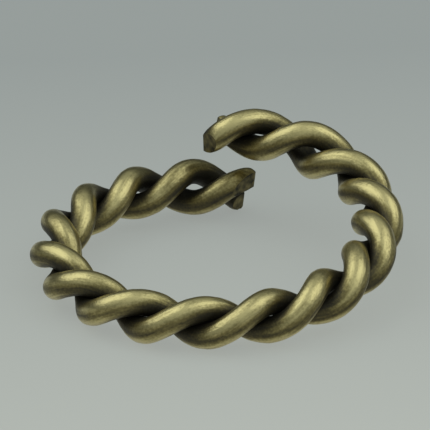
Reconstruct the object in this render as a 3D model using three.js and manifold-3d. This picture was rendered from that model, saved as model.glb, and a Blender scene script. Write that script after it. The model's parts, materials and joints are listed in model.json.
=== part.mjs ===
// Twisted-wire jump ring: two round brass wires, laid together with a left-hand
// twist and bent into one open coil. The coil is a little over one turn, so its
// two cut ends pass each other at the back, the raised end above the low end.
//
// Units are millimetres and +Z is up. The ring lies on the plane z = 0 with the
// middle of its box over the origin and its ends at the back, towards +Y.
//
// A jump ring is opened by twisting it sideways. It flexes most opposite its
// ends, so each wire is modelled as two solids that meet there: one belongs to
// each half of the ring, and the halves turn about the cord's own direction.

import * as THREE from 'three';
import { mergeVertices } from 'three/addons/utils/BufferGeometryUtils.js';
import Module from 'manifold-3d';

const { degToRad, lerp } = THREE.MathUtils;

// The cord and the coil that it makes
const WIRE_RADIUS = 0.525; // 1.05 mm wire
const STRAND_OFFSET = 0.543; // middle of the cord to the middle of each wire
const COIL_RADIUS = 6.5; // ring's axis to the middle of the cord
const RADIUS_GROWTH = 0.056; // the coil opens out by this much from its middle to an end
const END_RISE = 2.62; // the raised end's height above the low end
const HALF_TWISTS = 4.105; // full twists from the middle of the coil to either end
const TWIST_AT_MIDDLE = 0.309; // full twists, from both wires level

// The coil is bent by hand, so it is slightly out of round, its rise isn't quite
// even, and its twist is tighter near the ends. Lobes are [count, size, azimuth].
// The other lists are [power, size] along the coil, from -1 to 1 between its ends.
const ROUND_LOBES = [[2, 0.143, 122.3], [3, 0.06, 53.3]];
const LOOSE_SPOTS = [[96, 20, 0.1], [417, 12, 0.07]]; // [azimuth, spread, extra offset]
const UNEVEN_RISE = [[2, 0.18], [4, -0.38]];
const UNEVEN_TWIST = [[2, 0.71], [4, -1.32], [5, -0.045], [6, 0.69]];

// Azimuths round the ring's axis, in degrees from +X
const LOW_ENDS = [76.5, 79.5]; // where each wire is cut off at the low end
const RAISED_ENDS = [454, 448.5]; // and at the raised end
const FLEX_POINT = 270;
const COIL_MIDDLE = 264.5;
const HALF_SPAN = 182.5;

// Side cutters pinch a wire off in two facets, which meet at an upright ridge.
// The facets are turned from square, one towards the ring's axis and one away.
const INNER_FACET_TURN = 30; // degrees
const OUTER_FACET_TURN = 20;
const RIDGE_OFFSET = 0.2; // from the middle of the wire, away from the ring's axis
const FLEX_GAP = 0.04; // clear gap between the two solids of one wire
const SPARE = 12; // degrees of spare wire that each cut removes
const CUTTER_SIZE = 3.4;

// How the ring settles on a flat surface, in degrees
const REST_TILT_X = 6.75;
const REST_TILT_Y = 0.58;

// Facets of each solid
const WIRE_SIDES = 12;
const DEGREES_PER_STEP = 3.6;

const UP = new THREE.Vector3(0, 0, 1);
const wasm = await Module();
wasm.setup();

/** Place along the coil: -1 at the low end, 0 at the middle, 1 at the raised end. */
function alongCoil(azimuth) {
  return (azimuth - COIL_MIDDLE) / HALF_SPAN;
}

/** Sum of powers of w, from a list of [power, size]. */
function sumOfPowers(terms, w) {
  return terms.reduce((sum, [power, size]) => sum + size * w ** power, 0);
}

/** Middle of the cord at an azimuth in degrees. */
function cordPoint(azimuth) {
  const w = alongCoil(azimuth);
  const angle = degToRad(azimuth);
  let radius = COIL_RADIUS + RADIUS_GROWTH * w;
  for (const [count, size, peak] of ROUND_LOBES) {
    radius += size * Math.cos(count * (angle - degToRad(peak)));
  }
  const height = END_RISE * w / 2 + sumOfPowers(UNEVEN_RISE, w);
  return new THREE.Vector3(radius * Math.cos(angle), radius * Math.sin(angle), height);
}

/** Unit direction of the cord, towards the raised end. */
function cordDirection(azimuth) {
  const step = 0.05;
  return cordPoint(azimuth + step).sub(cordPoint(azimuth - step)).normalize();
}

/** Turn of the pair of wires round the cord, in radians. */
function twistAngle(azimuth) {
  const w = alongCoil(azimuth);
  const turns = TWIST_AT_MIDDLE + HALF_TWISTS * w + sumOfPowers(UNEVEN_TWIST, w);
  return 2 * Math.PI * turns;
}

/** Distance from the middle of the cord to each wire, a little more at the loose spots. */
function strandOffset(azimuth) {
  let offset = STRAND_OFFSET;
  for (const [spot, spread, extra] of LOOSE_SPOTS) {
    offset += extra * Math.exp(-(((azimuth - spot) / spread) ** 2));
  }
  return offset;
}

/** Middle of one wire at an azimuth: strand 0 or 1 of the twisted pair. */
function wirePoint(strand, azimuth) {
  const along = cordDirection(azimuth);
  const upward = UP.clone().addScaledVector(along, -along.z).normalize();
  const outward = along.clone().cross(upward);
  const angle = twistAngle(azimuth) + Math.PI * strand;
  const offset = strandOffset(azimuth);
  return cordPoint(azimuth)
    .addScaledVector(outward, offset * Math.cos(angle))
    .addScaledVector(upward, offset * Math.sin(angle));
}

/** Path of one wire between two azimuths. */
class WireCurve extends THREE.Curve {
  constructor(strand, start, end) {
    super();
    this.strand = strand;
    this.start = start;
    this.end = end;
  }

  getPoint(t, target = new THREE.Vector3()) {
    return target.copy(wirePoint(this.strand, lerp(this.start, this.end, t)));
  }
}

/** Turns a closed geometry into a solid that can be cut. */
function toSolid(geometry) {
  const bare = geometry.clone();
  bare.deleteAttribute('normal');
  bare.deleteAttribute('uv');
  const merged = mergeVertices(bare);
  return new wasm.Manifold(new wasm.Mesh({
    numProp: 3,
    vertProperties: merged.attributes.position.array,
    triVerts: merged.index.array,
  }));
}

/** Turns a solid back into a geometry. */
function toGeometry(solid) {
  const { vertProperties, triVerts } = solid.getMesh();
  const geometry = new THREE.BufferGeometry();
  geometry.setAttribute('position', new THREE.BufferAttribute(vertProperties, 3));
  geometry.setIndex(new THREE.BufferAttribute(triVerts, 1));
  geometry.computeVertexNormals();
  return geometry;
}

/** A block that starts at a point and lies on the side that a direction names. */
function cutter(point, direction) {
  const block = new THREE.BoxGeometry(CUTTER_SIZE, CUTTER_SIZE, CUTTER_SIZE);
  block.translate(0, 0, CUTTER_SIZE / 2);
  block.applyQuaternion(new THREE.Quaternion().setFromUnitVectors(UP, direction));
  block.translate(point.x, point.y, point.z);
  return toSolid(block);
}

/** What the side cutters take off one end of a wire: both sides of the ridge. */
function pinchCut(strand, azimuth, outwardSign) {
  const along = cordDirection(azimuth).multiplyScalar(outwardSign);
  const away = cordPoint(azimuth).setZ(0).normalize();
  const ridge = wirePoint(strand, azimuth).addScaledVector(away, RIDGE_OFFSET);
  const inner = along.clone().applyAxisAngle(UP, outwardSign * degToRad(INNER_FACET_TURN));
  const outer = along.clone().applyAxisAngle(UP, -outwardSign * degToRad(OUTER_FACET_TURN));
  return cutter(ridge, inner).add(cutter(ridge, outer));
}

/** One round wire between two azimuths, with spare length at both ends. */
function rawWire(strand, start, end) {
  const path = new WireCurve(strand, start - SPARE, end + SPARE);
  path.arcLengthDivisions = 1200;
  const section = new THREE.Shape().absarc(0, 0, WIRE_RADIUS, 0, 2 * Math.PI);
  return toSolid(new THREE.ExtrudeGeometry(section, {
    extrudePath: path,
    steps: Math.round((end - start) / DEGREES_PER_STEP),
    curveSegments: WIRE_SIDES / 2, // an arc takes two sides for each
  }));
}

/** The solid of one wire on the low end's side of the flex point. */
function leftHalf(strand) {
  const flex = cordPoint(FLEX_POINT);
  const along = cordDirection(FLEX_POINT);
  const end = LOW_ENDS[strand];
  const endCut = pinchCut(strand, end, -1);
  const flexCut = cutter(flex.addScaledVector(along, -FLEX_GAP / 2), along);
  return rawWire(strand, end, FLEX_POINT).subtract(endCut).subtract(flexCut);
}

/** The solid of one wire on the raised end's side of the flex point. */
function rightHalf(strand) {
  const flex = cordPoint(FLEX_POINT);
  const along = cordDirection(FLEX_POINT);
  const end = RAISED_ENDS[strand];
  const endCut = pinchCut(strand, end, 1);
  const flexCut = cutter(flex.addScaledVector(along, FLEX_GAP / 2), along.clone().negate());
  return rawWire(strand, FLEX_POINT, end).subtract(endCut).subtract(flexCut);
}

/** Antique brass: worn yellow-brown metal with a soft shine. */
function antiqueBrass() {
  return new THREE.MeshStandardMaterial({ color: 0x8c7d45, roughness: 0.38, metalness: 1 });
}

/** A named sub-part of the ring. */
function part(name, solid) {
  const mesh = new THREE.Mesh(toGeometry(solid), antiqueBrass());
  mesh.name = name;
  return mesh;
}

const ring = new THREE.Group();
ring.add(
  part('first_wire_left', leftHalf(0)),
  part('first_wire_right', rightHalf(0)),
  part('second_wire_left', leftHalf(1)),
  part('second_wire_right', rightHalf(1)),
);
ring.rotation.set(degToRad(REST_TILT_X), degToRad(REST_TILT_Y), 0);

// Stand the tilted ring on z = 0 with the middle of its box over the origin.
const box = new THREE.Box3().setFromObject(ring, true);
const middle = box.getCenter(new THREE.Vector3());
ring.position.set(-middle.x, -middle.y, -box.min.z);

const model = new THREE.Group();
model.add(ring);

export default model;
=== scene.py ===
"""Open jump ring of two twisted brass wires, with an antique finish.

Two round wires are laid together with a left-hand twist and bent into one open
coil of a little over one turn, so that the raised end passes above the low end
at the back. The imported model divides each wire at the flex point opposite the
ends. Here each wire is one piece, which twists smoothly on both sides of that
point when the ring is opened.

Lengths are millimetres in the ring's own frame, where its axis is +Z. The last
step of building a wire lays it in the row frame, in metres.
"""

import json
import logging
import math
from dataclasses import dataclass, field
from enum import IntEnum

import bmesh
import bpy
from mathutils import Matrix, Quaternion, Vector, noise
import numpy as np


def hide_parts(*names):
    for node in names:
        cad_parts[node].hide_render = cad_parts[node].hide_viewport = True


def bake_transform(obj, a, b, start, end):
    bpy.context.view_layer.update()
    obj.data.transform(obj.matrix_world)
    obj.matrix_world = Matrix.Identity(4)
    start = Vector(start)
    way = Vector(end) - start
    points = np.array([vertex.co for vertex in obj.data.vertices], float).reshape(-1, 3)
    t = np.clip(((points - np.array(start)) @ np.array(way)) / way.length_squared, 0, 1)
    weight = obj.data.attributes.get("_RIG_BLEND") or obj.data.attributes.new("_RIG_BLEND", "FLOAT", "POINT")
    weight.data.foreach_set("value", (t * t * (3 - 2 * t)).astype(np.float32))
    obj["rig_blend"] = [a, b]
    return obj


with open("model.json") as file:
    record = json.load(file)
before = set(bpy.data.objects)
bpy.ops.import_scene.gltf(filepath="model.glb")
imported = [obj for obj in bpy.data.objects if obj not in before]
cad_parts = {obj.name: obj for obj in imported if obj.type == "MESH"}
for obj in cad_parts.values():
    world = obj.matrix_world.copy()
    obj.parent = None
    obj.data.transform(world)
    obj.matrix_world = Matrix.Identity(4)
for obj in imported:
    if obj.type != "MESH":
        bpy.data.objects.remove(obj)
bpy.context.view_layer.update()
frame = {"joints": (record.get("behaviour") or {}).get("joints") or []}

log = logging.getLogger("jump_ring")

MM = 0.001  # one millimetre in metres
UP = Vector((0.0, 0.0, 1.0))
NOISE_MIDDLE = 0.5  # average value of a noise texture
FINE_DETAIL = 2.0  # finer layers of noise in the small patterns

Powers = tuple[tuple[int, float], ...]
Triples = tuple[tuple[float, float, float], ...]


def linear_colour(code: str) -> tuple[float, float, float, float]:
    """Turn an sRGB hex colour into the linear colour that a shader takes.

    Args:
        code: A hash and six hex digits.

    Returns:
        Linear red, green and blue, and an alpha of 1.
    """
    levels = [int(code[start:start + 2], 16) / 255 for start in (1, 3, 5)]
    linear = [c / 12.92 if c <= 0.04045 else ((c + 0.055) / 1.055) ** 2.4 for c in levels]
    return (*linear, 1.0)


def add_node(tree: bpy.types.NodeTree, kind: str, settings: dict | None = None,
             links: dict | None = None) -> bpy.types.Node:
    """Add one node with its settings and links.

    Args:
        tree: The node tree that takes the node.
        kind: The node's type name.
        settings: Values by input name or number, or by the node's own property name.
        links: Output sockets by the name or number of the input that each one feeds.

    Returns:
        The new node.
    """
    node = tree.nodes.new(kind)
    for name, value in (settings or {}).items():
        if isinstance(name, int) or name in node.inputs:
            node.inputs[name].default_value = value
        else:
            setattr(node, name, value)
    for name, source in (links or {}).items():
        tree.links.new(source, node.inputs[name])
    return node


def smooth_step(low: float, high: float, value: float) -> float:
    """Share of the way from low to high, from 0 to 1, level at both ends."""
    share = min(max((value - low) / (high - low), 0.0), 1.0)
    return share * share * (3 - 2 * share)


def sum_of_powers(terms: Powers, w: float) -> float:
    """Sum of powers of w, from pairs of power and size."""
    return sum(size * w ** power for power, size in terms)


class Strand(IntEnum):
    """The two wires of the twisted pair, as half turns round the cord."""

    FIRST = 0
    SECOND = 1


class WireEnd(IntEnum):
    """The two ends of the coil, as the sign of the way out along the cord."""

    LOW = -1
    RAISED = 1


@dataclass(frozen=True)
class TwistedCoil:
    """Where the cord and its two wires run. Azimuths are degrees round the ring from +X."""

    coil_radius: float = 6.5
    radius_growth: float = 0.056  # from the middle of the coil to an end
    end_rise: float = 2.62
    strand_offset: float = 0.532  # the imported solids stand 0.011 further out, clear of each other
    half_twists: float = 4.105  # full twists from the middle of the coil to either end
    twist_at_middle: float = 0.309
    coil_middle: float = 264.5
    half_span: float = 182.5
    flex_point: float = 270.0
    round_lobes: Triples = ((2, 0.143, 122.3), (3, 0.06, 53.3))  # count, size, azimuth
    # azimuth, spread and extra offset of the spots where the wires are looser or tighter
    loose_spots: Triples = ((96, 20, 0.11), (266, 6, -0.02), (417, 12, 0.14))
    # power and size: the last two lift the raised end by 0.1 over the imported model
    uneven_rise: Powers = ((2, 0.18), (4, -0.38), (6, 0.05), (7, 0.05))
    uneven_twist: Powers = ((2, 0.71), (4, -1.32), (5, -0.045), (6, 0.69))
    rest_tilt_x: float = 6.75  # how the ring settles on a flat surface, in degrees
    rest_tilt_y: float = 0.58
    slope_step: float = 0.05  # degrees on each side of a spot, over which a direction is taken

    def along(self, azimuth: float) -> float:
        """Place along the coil: -1 at the low end, 0 at the middle, 1 at the raised end."""
        return (azimuth - self.coil_middle) / self.half_span

    def cord_point(self, azimuth: float) -> Vector:
        """Middle of the cord.

        Args:
            azimuth: Where along the coil, in degrees.

        Returns:
            The point in the ring's own frame.
        """
        w = self.along(azimuth)
        angle = math.radians(azimuth)
        radius = self.coil_radius + self.radius_growth * w
        for count, size, peak in self.round_lobes:
            radius += size * math.cos(count * (angle - math.radians(peak)))
        height = self.end_rise * w / 2 + sum_of_powers(self.uneven_rise, w)
        return Vector((radius * math.cos(angle), radius * math.sin(angle), height))

    def cord_direction(self, azimuth: float) -> Vector:
        """Unit direction of the cord, towards the raised end."""
        ahead = self.cord_point(azimuth + self.slope_step)
        return (ahead - self.cord_point(azimuth - self.slope_step)).normalized()

    def wire_point(self, strand: Strand, azimuth: float) -> Vector:
        """Middle of one wire.

        Args:
            strand: Which wire of the pair.
            azimuth: Where along the coil, in degrees.

        Returns:
            The point in the ring's own frame.
        """
        w = self.along(azimuth)
        turns = self.twist_at_middle + self.half_twists * w + sum_of_powers(self.uneven_twist, w)
        angle = math.tau * turns + math.pi * strand
        offset = self.strand_offset
        for spot, spread, extra in self.loose_spots:
            offset += extra * math.exp(-(((azimuth - spot) / spread) ** 2))
        direction = self.cord_direction(azimuth)
        upward = (UP - direction * direction.z).normalized()
        outward = direction.cross(upward)
        side = outward * math.cos(angle) + upward * math.sin(angle)
        return self.cord_point(azimuth) + side * offset

    def wire_direction(self, strand: Strand, azimuth: float) -> Vector:
        """Unit direction of one wire, towards its raised end."""
        ahead = self.wire_point(strand, azimuth + self.slope_step)
        return (ahead - self.wire_point(strand, azimuth - self.slope_step)).normalized()

    def lay_down(self, flex_place: Vector) -> Matrix:
        """Matrix from the ring's own frame in millimetres to the row frame in metres.

        Args:
            flex_place: Where the flex point lies in the row frame, in metres.

        Returns:
            The 4 by 4 matrix.
        """
        tilt_x = Matrix.Rotation(math.radians(self.rest_tilt_x), 4, "X")
        tilt_y = Matrix.Rotation(math.radians(self.rest_tilt_y), 4, "Y")
        turned = tilt_x @ tilt_y @ Matrix.Scale(MM, 4)
        return Matrix.Translation(flex_place - turned @ self.cord_point(self.flex_point)) @ turned


@dataclass(frozen=True)
class AntiquedBrass:
    """Drawn brass wire, blackened in a bath and then rubbed by tumbling.

    The bath leaves a nearly black skin, which stays in the hollow between the
    wires. Tumbling rubs it through on the crests, first as a brown stain and then
    down to pale yellow brass, in patches and along the fine lines of drawing.
    """

    black: str = "#48443A"
    brown: str = "#5F573F"
    olive: str = "#8D8156"
    brass: str = "#D3C48C"
    brown_stop: float = 0.3  # share of the rubbing at which each colour shows
    olive_stop: float = 0.62
    black_roughness: float = 0.55
    brass_roughness: float = 0.3
    hollow_edge: float = -0.75  # relief up to which the skin stays whole
    crest_edge: float = 0.75  # relief from which the wire is rubbed fully
    most_wear: float = 0.98  # rubbing on the crests, where the finest marks still stay dark
    unshaded_level: float = 0.5  # level from which the ring's flat sides show full wear and no painted shade
    side_shade_share: float = 0.3  # share of that on the ring's inside and outside: painted shade, darker there for the dim surroundings they reflect
    dull_length: float = 9.0  # of wire from the low end, which is drawn darker and rougher
    dull_loss: float = 0.4
    patch_size: float = 1.1
    patch_share: float = 0.6
    patch_detail: float = 3.0
    speck_size: float = 0.09
    speck_share: float = 0.5
    line_width: float = 0.12
    line_length: float = 1.8
    line_share: float = 0.6
    pit_size: float = 0.07  # finer on the real wire: drawn as coarse as it shows
    pit_depth: float = 0.01

    def material(self) -> bpy.types.Material:
        """Make the wire's material, which reads its three surface attributes.

        Returns:
            The finished material.
        """
        made = bpy.data.materials.new("antiqued_brass")
        made.use_nodes = True
        tree = made.node_tree
        tree.nodes.clear()
        in_wire = add_node(tree, "ShaderNodeAttribute", {"attribute_name": "wire_place"})
        place = in_wire.outputs["Vector"]
        relief = add_node(tree, "ShaderNodeAttribute", {"attribute_name": "relief"}).outputs["Fac"]
        patches = add_node(tree, "ShaderNodeTexNoise",
                           {"Scale": 1 / self.patch_size, "Detail": self.patch_detail},
                           {"Vector": place})
        specks = add_node(tree, "ShaderNodeTexNoise",
                          {"Scale": 1 / self.speck_size, "Detail": FINE_DETAIL}, {"Vector": place})
        squeezed = add_node(tree, "ShaderNodeMapping",
                            {"Scale": (1.0, 1.0, self.line_width / self.line_length)},
                            {"Vector": place})
        lines = add_node(tree, "ShaderNodeTexNoise",
                         {"Scale": 1 / self.line_width, "Detail": FINE_DETAIL},
                         {"Vector": squeezed.outputs["Vector"]})
        along = add_node(tree, "ShaderNodeSeparateXYZ", links={"Vector": place}).outputs["Z"]
        level = add_node(tree, "ShaderNodeAttribute", {"attribute_name": "level"}).outputs["Fac"]
        crest = add_node(tree, "ShaderNodeMapRange",
                         {"interpolation_type": "SMOOTHSTEP", "From Min": self.hollow_edge,
                          "From Max": self.crest_edge, "To Max": self.most_wear},
                         {"Value": relief})
        # painted shade: the ring's inside and outside faces are drawn darker than its flat sides, for the
        # dim surroundings they reflect
        flat = add_node(tree, "ShaderNodeMapRange",
                        {"From Max": self.unshaded_level, "To Min": self.side_shade_share}, {"Value": level})
        dull = add_node(tree, "ShaderNodeMapRange",
                        {"From Max": self.dull_length, "To Min": -self.dull_loss, "To Max": 0.0},
                        {"Value": along})
        wear_and_side_shade = add_node(tree, "ShaderNodeMath", {"operation": "MULTIPLY_ADD"},
                        {0: crest.outputs["Result"], 1: flat.outputs["Result"],
                         2: dull.outputs["Result"]}).outputs["Value"]
        for pattern, share in ((patches, self.patch_share), (specks, self.speck_share),
                               (lines, self.line_share)):
            around_zero = add_node(tree, "ShaderNodeMath",
                                   {"operation": "SUBTRACT", 1: NOISE_MIDDLE},
                                   {0: pattern.outputs["Fac"]})
            wear_and_side_shade = add_node(tree, "ShaderNodeMath", {"operation": "MULTIPLY_ADD", 1: share},
                            {0: around_zero.outputs["Value"], 2: wear_and_side_shade}).outputs["Value"]
        ramp = add_node(tree, "ShaderNodeValToRGB", links={"Fac": wear_and_side_shade})
        stops = ramp.color_ramp.elements
        stops[0].color = linear_colour(self.black)
        stops[1].color = linear_colour(self.brass)
        stops.new(self.brown_stop).color = linear_colour(self.brown)
        stops.new(self.olive_stop).color = linear_colour(self.olive)
        roughness = add_node(tree, "ShaderNodeMapRange",
                             {"To Min": self.black_roughness, "To Max": self.brass_roughness},
                             {"Value": wear_and_side_shade})
        pits = add_node(tree, "ShaderNodeTexNoise",
                        {"Scale": 1 / self.pit_size, "Detail": FINE_DETAIL}, {"Vector": place})
        rough_skin = add_node(tree, "ShaderNodeMath", {"operation": "ADD"},
                              {0: pits.outputs["Fac"], 1: lines.outputs["Fac"]})
        bump = add_node(tree, "ShaderNodeBump",
                        {"Strength": 1.0, "Distance": self.pit_depth * MM},
                        {"Height": rough_skin.outputs["Value"]})
        metal = add_node(tree, "ShaderNodeBsdfPrincipled", {"Metallic": 1.0},
                         {"Base Color": ramp.outputs["Color"],
                          "Roughness": roughness.outputs["Result"],
                          "Normal": bump.outputs["Normal"]})
        add_node(tree, "ShaderNodeOutputMaterial", links={"Surface": metal.outputs["BSDF"]})
        return made


@dataclass(frozen=True)
class SnippedBrass:
    """Brass squeezed apart by side cutters and then blackened: flat, dull and finely scored."""

    dark: str = "#2B281C"
    worn: str = "#8A7E55"
    stain_size: float = 0.35
    stain_detail: float = 4.0
    stain_edges: tuple[float, float] = (0.35, 0.7)  # noise values of the dark and the worn colour
    roughness: float = 0.5
    score_width: float = 0.06
    score_length: float = 0.7
    score_depth: float = 0.006

    def material(self) -> bpy.types.Material:
        """Make the material of the snipped facets.

        Returns:
            The finished material.
        """
        made = bpy.data.materials.new("snipped_brass")
        made.use_nodes = True
        tree = made.node_tree
        tree.nodes.clear()
        place = add_node(tree, "ShaderNodeTexCoord").outputs["Object"]
        squeezed = add_node(tree, "ShaderNodeMapping",
                            {"Scale": (1.0, 1.0, self.score_width / self.score_length)},
                            {"Vector": place})
        scores = add_node(tree, "ShaderNodeTexNoise",
                          {"Scale": 1 / (self.score_width * MM), "Detail": FINE_DETAIL},
                          {"Vector": squeezed.outputs["Vector"]})
        stains = add_node(tree, "ShaderNodeTexNoise",
                          {"Scale": 1 / (self.stain_size * MM), "Detail": self.stain_detail},
                          {"Vector": place})
        dark_edge, worn_edge = self.stain_edges
        patchy = add_node(tree, "ShaderNodeMapRange",
                          {"From Min": dark_edge, "From Max": worn_edge},
                          {"Value": stains.outputs["Fac"]})
        colour = add_node(tree, "ShaderNodeMix",
                          {"data_type": "RGBA", 6: linear_colour(self.dark),
                           7: linear_colour(self.worn)}, {0: patchy.outputs["Result"]})
        bump = add_node(tree, "ShaderNodeBump", {"Distance": self.score_depth * MM},
                        {"Height": scores.outputs["Fac"]})
        metal = add_node(tree, "ShaderNodeBsdfPrincipled",
                         {"Metallic": 1.0, "Roughness": self.roughness},
                         {"Base Color": colour.outputs[2], "Normal": bump.outputs["Normal"]})
        add_node(tree, "ShaderNodeOutputMaterial", links={"Surface": metal.outputs["BSDF"]})
        return made


@dataclass(frozen=True)
class Facet:
    """One flat that side cutters leave, turned from square to the cord."""

    turn: float  # degrees towards the ring's axis
    pitch: float = 0.0  # degrees upwards

    def facing(self, along: Vector, end: WireEnd) -> Vector:
        """Unit direction that the facet faces, at one end of a cord that runs out along a line."""
        turned = Matrix.Rotation(math.radians(self.turn) * end, 3, "Z") @ along
        return (turned + UP * math.tan(math.radians(self.pitch))).normalized()


@dataclass(frozen=True)
class Snip:
    """Where and how one end of a wire is pinched off."""

    azimuth: float
    inner: Facet
    outer: Facet
    ridge_offset: float = 0.2  # from the middle of the wire, away from the ring's axis
    bite_length: float = 0.38  # of the shoulder that the jaws leave
    bite_depth: float = 0.26
    bite_below: float = 0.25  # share of that depth on the underside, where the jaws come out
    bite_past: float = 1.5  # share of the length past which the shoulder gets no deeper
    shortest_edge: float = 0.025  # shorter ones at the facets are welded
    rim_width: float = 0.035  # rubbed round rim of each facet
    rim_steps: int = 2
    on_plane: float = 1e-5  # how close to a facet's plane a vertex counts as on it

    def cut(self, shape: bmesh.types.BMesh, tail: list[bmesh.types.BMVert], ridge: Vector,
            along: Vector, end: WireEnd) -> None:
        """Press the wire, cut it off on both sides of the ridge, close it and round the rims.

        Args:
            shape: The wire.
            tail: Its vertices near this end.
            ridge: A point on the ridge, where the two facets meet.
            along: The way out along the cord.
            end: Which end of the coil this is.
        """
        ways_out = [facet.facing(along, end) for facet in (self.inner, self.outer)]
        self._squeeze(tail, ridge, ways_out)
        near = set(tail)
        for facing in ways_out:
            edges = [e for e in shape.edges if near.issuperset(e.verts)]
            faces = [f for f in shape.faces if near.issuperset(f.verts)]
            cut = bmesh.ops.bisect_plane(
                shape, geom=[*near, *edges, *faces], dist=self.on_plane, plane_co=ridge,
                plane_no=facing, clear_outer=True)["geom_cut"]
            rim = [e for e in cut if isinstance(e, bmesh.types.BMEdge)]
            bmesh.ops.edgeloop_fill(shape, edges=rim, mat_nr=1)
            near = {v for v in near if v.is_valid}
            near.update(v for v in cut if isinstance(v, bmesh.types.BMVert))
        self._round_rims(shape, near)

    def _squeeze(self, tail: list[bmesh.types.BMVert], ridge: Vector,
                 ways_out: list[Vector]) -> None:
        """Press the wire together towards the facets, most of all where the jaws bite from above.

        Args:
            tail: The wire's vertices near this end.
            ridge: A point on the ridge, where the two facets meet.
            ways_out: The way that each facet faces.
        """
        for vertex in tail:
            behind = min(facing.dot(ridge - vertex.co) for facing in ways_out)
            reach = min(max(1 - behind / self.bite_length, 0.0), self.bite_past)
            share = max(vertex.normal.z, self.bite_below * vertex.normal.z)
            vertex.co.z -= share * self.bite_depth * reach ** 2

    def _round_rims(self, shape: bmesh.types.BMesh, near: set[bmesh.types.BMVert]) -> None:
        """Weld the shortest edges at the facets and round the rims.

        Args:
            shape: The wire.
            near: Its vertices near this end.
        """
        facets = [f for f in shape.faces if f.material_index == 1 and near.issuperset(f.verts)]
        corners = {v for f in facets for v in f.verts}
        around = corners | {e.other_vert(v) for v in corners for e in v.link_edges}
        bmesh.ops.remove_doubles(shape, verts=list(around), dist=self.shortest_edge)
        facets = [f for f in shape.faces if f.material_index == 1 and near.issuperset(f.verts)]
        rims = {e for f in facets for e in f.edges}
        bmesh.ops.bevel(shape, geom=list(rims), offset=self.rim_width, offset_type="OFFSET",
                        affect="EDGES", segments=self.rim_steps, profile=0.5, material=-1,
                        clamp_overlap=True)


@dataclass(frozen=True)
class Section:
    """One cross-section of a bent wire."""

    stand: Matrix  # from the straight wire's cross-section to the ring's own frame
    inward: Vector  # unit direction from the middle of this wire to the other wire
    length: float  # drawn length up to here


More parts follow.
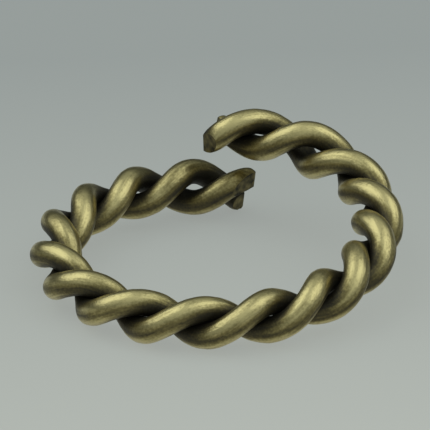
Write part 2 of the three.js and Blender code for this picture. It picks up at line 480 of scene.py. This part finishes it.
@dataclass
class TwistedWire:
    """One of the two wires, from one snipped end to the other."""

    name: str
    strand: Strand
    low_end: Snip
    raised_end: Snip
    coil: TwistedCoil = field(default_factory=TwistedCoil)
    radius: float = 0.525
    sides: int = 40
    step: float = 0.5  # degrees from one section to the next
    spare: float = 12.0  # degrees of wire past each cut, which the cutters take off
    tail_length: float = 4.5  # wire at each end that the cutters may reach
    dent_size: float = 0.9
    dent_depth: float = 0.02
    fine_dents: float = 3.0  # how many times smaller the finer dents are
    fine_dent_share: float = 0.4  # of the depth of the larger ones
    dent_shift: tuple[float, float, float] = (7.0, 3.0, 11.0)  # so that the wires' dents differ

    def build(self) -> bpy.types.Object:
        """Draw the wire along its path, dent it, snip both ends and lay it in the row frame.

        Returns:
            The wire as one object at the origin.
        """
        shape = bmesh.new()
        length = self._draw(shape)
        self._dent(shape)
        self._snip_ends(shape, length)
        bmesh.ops.recalc_face_normals(shape, faces=shape.faces)
        shape.transform(self.coil.lay_down(Vector(frame["joints"][0]["pos_m"])))
        mesh = bpy.data.meshes.new(self.name)
        shape.to_mesh(mesh)
        shape.free()
        wire = bpy.data.objects.new(self.name, mesh)
        bpy.context.scene.collection.objects.link(wire)
        return wire

    def _draw(self, shape: bmesh.types.BMesh) -> float:
        """Draw the wire straight, one unit long for each step, and bend it along its path.

        Each vertex keeps three values: wire_place, its place in the straight wire;
        relief, from -1 where it faces the other wire to 1 on the crest; and level,
        from 0 where it faces sideways to 1 on the flat sides of the ring.

        Args:
            shape: An empty bmesh, which takes the open tube.

        Returns:
            The drawn length.
        """
        place = shape.verts.layers.float_vector.new("wire_place")
        relief = shape.verts.layers.float.new("relief")
        level = shape.verts.layers.float.new("level")
        sections = self._sections()
        bmesh.ops.create_circle(shape, segments=self.sides, radius=self.radius)
        grown = bmesh.ops.extrude_edge_only(shape, edges=list(shape.edges))["geom"]
        far_rim = [part for part in grown if isinstance(part, bmesh.types.BMVert)]
        bmesh.ops.translate(shape, vec=UP * (len(sections) - 1), verts=far_rim)
        long_edges = [edge for edge in shape.edges if edge.calc_length() > self.radius]
        bmesh.ops.subdivide_edges(shape, edges=long_edges, cuts=len(sections) - 2)
        for vertex in shape.verts:
            section = sections[round(vertex.co.z)]
            across = Vector((*vertex.co.xy, 0.0))
            vertex[place] = (*across.xy, section.length)
            vertex.co = section.stand @ across
            facing = (vertex.co - section.stand.translation) / self.radius
            vertex[relief] = -section.inward.dot(facing)
            vertex[level] = abs(facing.z)
        for face in shape.faces:
            face.smooth = True
        return sections[-1].length

    def _sections(self) -> list[Section]:
        """Cross-sections of the bent wire, each turned no more than the bend needs.

        Returns:
            One section for each step, from the spare wire at the low end onwards.
        """
        azimuth = self.low_end.azimuth - self.spare
        centre = self.coil.wire_point(self.strand, azimuth)
        direction = self.coil.wire_direction(self.strand, azimuth)
        turn = direction.to_track_quat("Z", "Y")
        length = 0.0
        sections = []
        while azimuth < self.raised_end.azimuth + self.spare:
            inward = (self.coil.cord_point(azimuth) - centre).normalized()
            stand = Matrix.Translation(centre) @ turn.to_matrix().to_4x4()
            sections.append(Section(stand, inward, length))
            azimuth += self.step
            last_centre, last_direction = centre, direction
            centre = self.coil.wire_point(self.strand, azimuth)
            direction = self.coil.wire_direction(self.strand, azimuth)
            turn = last_direction.rotation_difference(direction) @ turn
            length += (centre - last_centre).length
        return sections

    def _dent(self, shape: bmesh.types.BMesh) -> None:
        """Press the shallow hollows that tumbling leaves into the drawn tube.

        Args:
            shape: The open tube.
        """
        shape.normal_update()
        shift = Vector(self.dent_shift) * (1 + self.strand)
        for vertex in shape.verts:
            spot = vertex.co / self.dent_size + shift
            depth = noise.noise(spot) + self.fine_dent_share * noise.noise(spot * self.fine_dents)
            vertex.co += vertex.normal * depth * self.dent_depth

    def _snip_ends(self, shape: bmesh.types.BMesh, length: float) -> None:
        """Cut off the spare wire at both ends.

        Args:
            shape: The open tube.
            length: Its drawn length.
        """
        place = shape.verts.layers.float_vector["wire_place"]
        for end, snip in ((WireEnd.LOW, self.low_end), (WireEnd.RAISED, self.raised_end)):
            if end is WireEnd.LOW:
                tail = [v for v in shape.verts if v[place].z < self.tail_length]
            else:
                tail = [v for v in shape.verts if v[place].z > length - self.tail_length]
            away = self.coil.cord_point(snip.azimuth)
            away.z = 0
            ridge = self.coil.wire_point(self.strand, snip.azimuth)
            ridge += away.normalized() * snip.ridge_offset
            along = self.coil.cord_direction(snip.azimuth) * end
            snip.cut(shape, tail, ridge, along, end)


@dataclass
class JumpRing:
    """The whole ring: two twisted wires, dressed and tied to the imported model."""

    coil: TwistedCoil = field(default_factory=TwistedCoil)
    wire_finish: AntiquedBrass = field(default_factory=AntiquedBrass)
    facet_finish: SnippedBrass = field(default_factory=SnippedBrass)
    flex_spread: float = 25.0  # degrees on each side of the flex point that twist

    def build(self) -> list[bpy.types.Object]:
        """Build both wires and tie them to the two bodies.

        Returns:
            The two wires.
        """
        wires = [
            TwistedWire("first_wire", Strand.FIRST, coil=self.coil,
                        low_end=Snip(76.5, inner=Facet(26), outer=Facet(-20)),
                        raised_end=Snip(454.0, inner=Facet(30, -5), outer=Facet(-20))),
            TwistedWire("second_wire", Strand.SECOND, coil=self.coil,
                        low_end=Snip(79.5, inner=Facet(30), outer=Facet(-20), bite_below=0.5),
                        raised_end=Snip(449.2, inner=Facet(30), outer=Facet(-20, 12))),
        ]
        pieces = [wire.build() for wire in wires]
        finishes = (self.wire_finish.material(), self.facet_finish.material())
        for piece in pieces:
            for finish in finishes:
                piece.data.materials.append(finish)
            self._tie(piece)
            log.info("%s: %d faces", piece.name, len(piece.data.polygons))
        return pieces

    def _tie(self, piece: bpy.types.Object) -> None:
        """Make a wire bend with both bodies and stand for its two solids.

        Args:
            piece: The finished wire.
        """
        lay = self.coil.lay_down(Vector(frame["joints"][0]["pos_m"]))
        first, last = (lay @ self.coil.cord_point(self.coil.flex_point + self.flex_spread * side)
                       for side in (-1, 1))
        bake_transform(piece, "left_half", "right_half", start=first, end=last)
        self._spread_flex(piece, lay.inverted())
        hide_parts(f"{piece.name}_left", f"{piece.name}_right")

    def _spread_flex(self, piece: bpy.types.Object, to_ring: Matrix) -> None:
        """Set how far each vertex follows the right half, by its azimuth from the flex point.

        The two ends pass each other at the back, so away from the flex point the
        drawn length tells which half a vertex belongs to.

        Args:
            piece: The finished wire.
            to_ring: Matrix from the row frame to the ring's own frame.
        """
        flex_point = math.radians(self.coil.flex_point)
        spread = math.radians(self.flex_spread)
        weights = piece.data.attributes["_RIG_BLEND"].data
        lengths = piece.data.attributes["wire_place"].data
        middle_length = max(item.vector.z for item in lengths) / 2
        for vertex, weight, item in zip(piece.data.vertices, weights, lengths):
            spot = to_ring @ vertex.co
            past = math.remainder(math.atan2(spot.y, spot.x) - flex_point, math.tau)
            if abs(past) < spread:
                weight.value = smooth_step(-spread, spread, past)
            else:
                weight.value = float(item.vector.z > middle_length)


@dataclass(frozen=True)
class Camera:
    """A long lens that looks down on the ring from the front."""

    azimuth: float = 0.317  # degrees round from the front
    elevation: float = 23.325  # degrees
    roll: float = -2.119  # degrees
    distance: float = 174.4
    lens: float = 364.6
    aim: tuple[float, float, float] = (-0.014, 0.287, 2.656)  # row frame, in millimetres
    nearest: float = 10.0  # what the camera shows
    furthest: float = 10000.0

    def place(self) -> None:
        """Make the camera and give it to the scene."""
        view = bpy.data.cameras.new("camera")
        view.lens = self.lens
        view.clip_start = self.nearest * MM
        view.clip_end = self.furthest * MM
        camera = bpy.data.objects.new("camera", view)
        level = Quaternion((0, 0, 1), math.radians(self.azimuth))
        pitch = Quaternion((1, 0, 0), math.radians(90 - self.elevation))
        roll = Quaternion((0, 0, 1), math.radians(self.roll))
        turn = (level @ pitch @ roll).to_matrix().to_4x4()
        back = turn.to_3x3() @ Vector((0, 0, self.distance))
        camera.matrix_world = Matrix.Translation((Vector(self.aim) + back) * MM) @ turn
        bpy.context.scene.collection.objects.link(camera)
        bpy.context.scene.camera = camera


@dataclass(frozen=True)
class SoftBox:
    """One square soft box that faces the ring."""

    name: str
    azimuth: float  # degrees round from behind the ring, towards the right
    elevation: float
    distance: float
    size: float
    brightness: float  # radiance, where white paper in full light is 1
    colour: str = "#F7FFFC"

    def hang(self) -> None:
        """Make the light and turn it to the ring."""
        lamp = bpy.data.lights.new(self.name, "AREA")
        lamp.shape = "SQUARE"
        lamp.size = self.size * MM
        lamp.energy = math.pi * lamp.size ** 2 * self.brightness
        lamp.color = linear_colour(self.colour)[:3]
        light = bpy.data.objects.new(self.name, lamp)
        azimuth = math.radians(self.azimuth)
        elevation = math.radians(self.elevation)
        level = Vector((math.sin(azimuth), math.cos(azimuth), 0.0)) * math.cos(elevation)
        spot = (level + UP * math.sin(elevation)) * self.distance * MM
        turn = spot.to_track_quat("Z", "Y").to_matrix().to_4x4()
        light.matrix_world = Matrix.Translation(spot) @ turn
        bpy.context.scene.collection.objects.link(light)


@dataclass
class Studio:
    """A sheet of pale grey paper in a light tent, lit softly from above and through from below."""

    floor_size: float = 3000.0
    near_paper: str = "#C1C5BE"
    # painted shade: the paper is drawn darker towards the back, as the light falls off there
    far_paper_in_painted_shade: str = "#9EA4A2"
    glow_share: float = 0.7  # of the paper's brightness that comes through it from below
    glow_strength: float = 1.03
    fade_start: float = -25.0  # where painted shade darkens the paper from near to far, along Y
    fade_end: float = 25.0
    overhead: str = "#C2CBC8"
    horizon: str = "#2A2E2D"
    ambient_strength: float = 1.0
    tent_lean: float = 0.3  # how far the bright top of the tent leans to the front
    lights: tuple[SoftBox, ...] = (
        SoftBox("left_box", azimuth=-75, elevation=50, distance=350, size=340, brightness=0.8),
        SoftBox("right_box", azimuth=98, elevation=50, distance=350, size=310, brightness=0.7),
    )

    def build(self) -> None:
        """Lay the paper, hang the lights and fill in the surroundings."""
        self._lay_paper()
        for light in self.lights:
            light.hang()
        bpy.context.scene.world = self._surroundings()
        bpy.context.scene.view_settings.view_transform = "Standard"

    def _surroundings(self) -> bpy.types.World:
        """Make the light tent round the object: bright overhead and dim near the floor.

        Returns:
            The finished world.
        """
        made = bpy.data.worlds.new("light_tent")
        made.use_nodes = True
        tree = made.node_tree
        tree.nodes.clear()
        direction = add_node(tree, "ShaderNodeTexCoord").outputs["Generated"]
        height = add_node(tree, "ShaderNodeVectorMath",
                          {"operation": "DOT_PRODUCT", 1: (0.0, -self.tent_lean, 1.0)},
                          {0: direction}).outputs["Value"]
        colour = add_node(tree, "ShaderNodeMix",
                          {"data_type": "RGBA", 6: linear_colour(self.horizon),
                           7: linear_colour(self.overhead)}, {0: height})
        sky = add_node(tree, "ShaderNodeBackground", {"Strength": self.ambient_strength},
                       {"Color": colour.outputs[2]})
        add_node(tree, "ShaderNodeOutputWorld", links={"Surface": sky.outputs["Background"]})
        return made

    def _lay_paper(self) -> None:
        """Lay the sheet of paper that the ring rests on."""
        shape = bmesh.new()
        bmesh.ops.create_grid(shape, x_segments=1, y_segments=1, size=self.floor_size * MM / 2)
        mesh = bpy.data.meshes.new("paper")
        shape.to_mesh(mesh)
        shape.free()
        paper = bpy.data.objects.new("paper", mesh)
        bpy.context.scene.collection.objects.link(paper)
        mesh.materials.append(self._paper_material())

    def _paper_material(self) -> bpy.types.Material:
        """Make matt paper with painted shade that darkens it a little from front to back.

        Returns:
            The finished material.
        """
        made = bpy.data.materials.new("pale_paper")
        made.use_nodes = True
        tree = made.node_tree
        tree.nodes.clear()
        place = add_node(tree, "ShaderNodeTexCoord").outputs["Object"]
        depth = add_node(tree, "ShaderNodeSeparateXYZ", links={"Vector": place}).outputs["Y"]
        share = add_node(tree, "ShaderNodeMapRange",
                         {"From Min": self.fade_start * MM, "From Max": self.fade_end * MM},
                         {"Value": depth})
        colour = add_node(tree, "ShaderNodeMix",
                          {"data_type": "RGBA", 6: linear_colour(self.near_paper),
                           7: linear_colour(self.far_paper_in_painted_shade)}, {0: share.outputs["Result"]})
        front_lit = add_node(tree, "ShaderNodeBsdfDiffuse", links={"Color": colour.outputs[2]})
        back_lit = add_node(tree, "ShaderNodeEmission", {"Strength": self.glow_strength},
                            {"Color": colour.outputs[2]})
        surface = add_node(tree, "ShaderNodeMixShader", {"Fac": self.glow_share},
                           {1: front_lit.outputs["BSDF"], 2: back_lit.outputs["Emission"]})
        add_node(tree, "ShaderNodeOutputMaterial", links={"Surface": surface.outputs["Shader"]})
        return made


def main() -> None:
    """Build the ring and its studio, and place the camera."""
    logging.basicConfig(level=logging.INFO, format="%(name)s: %(message)s")
    JumpRing().build()
    Studio().build()
    Camera().place()


if __name__ == "__main__":
    main()
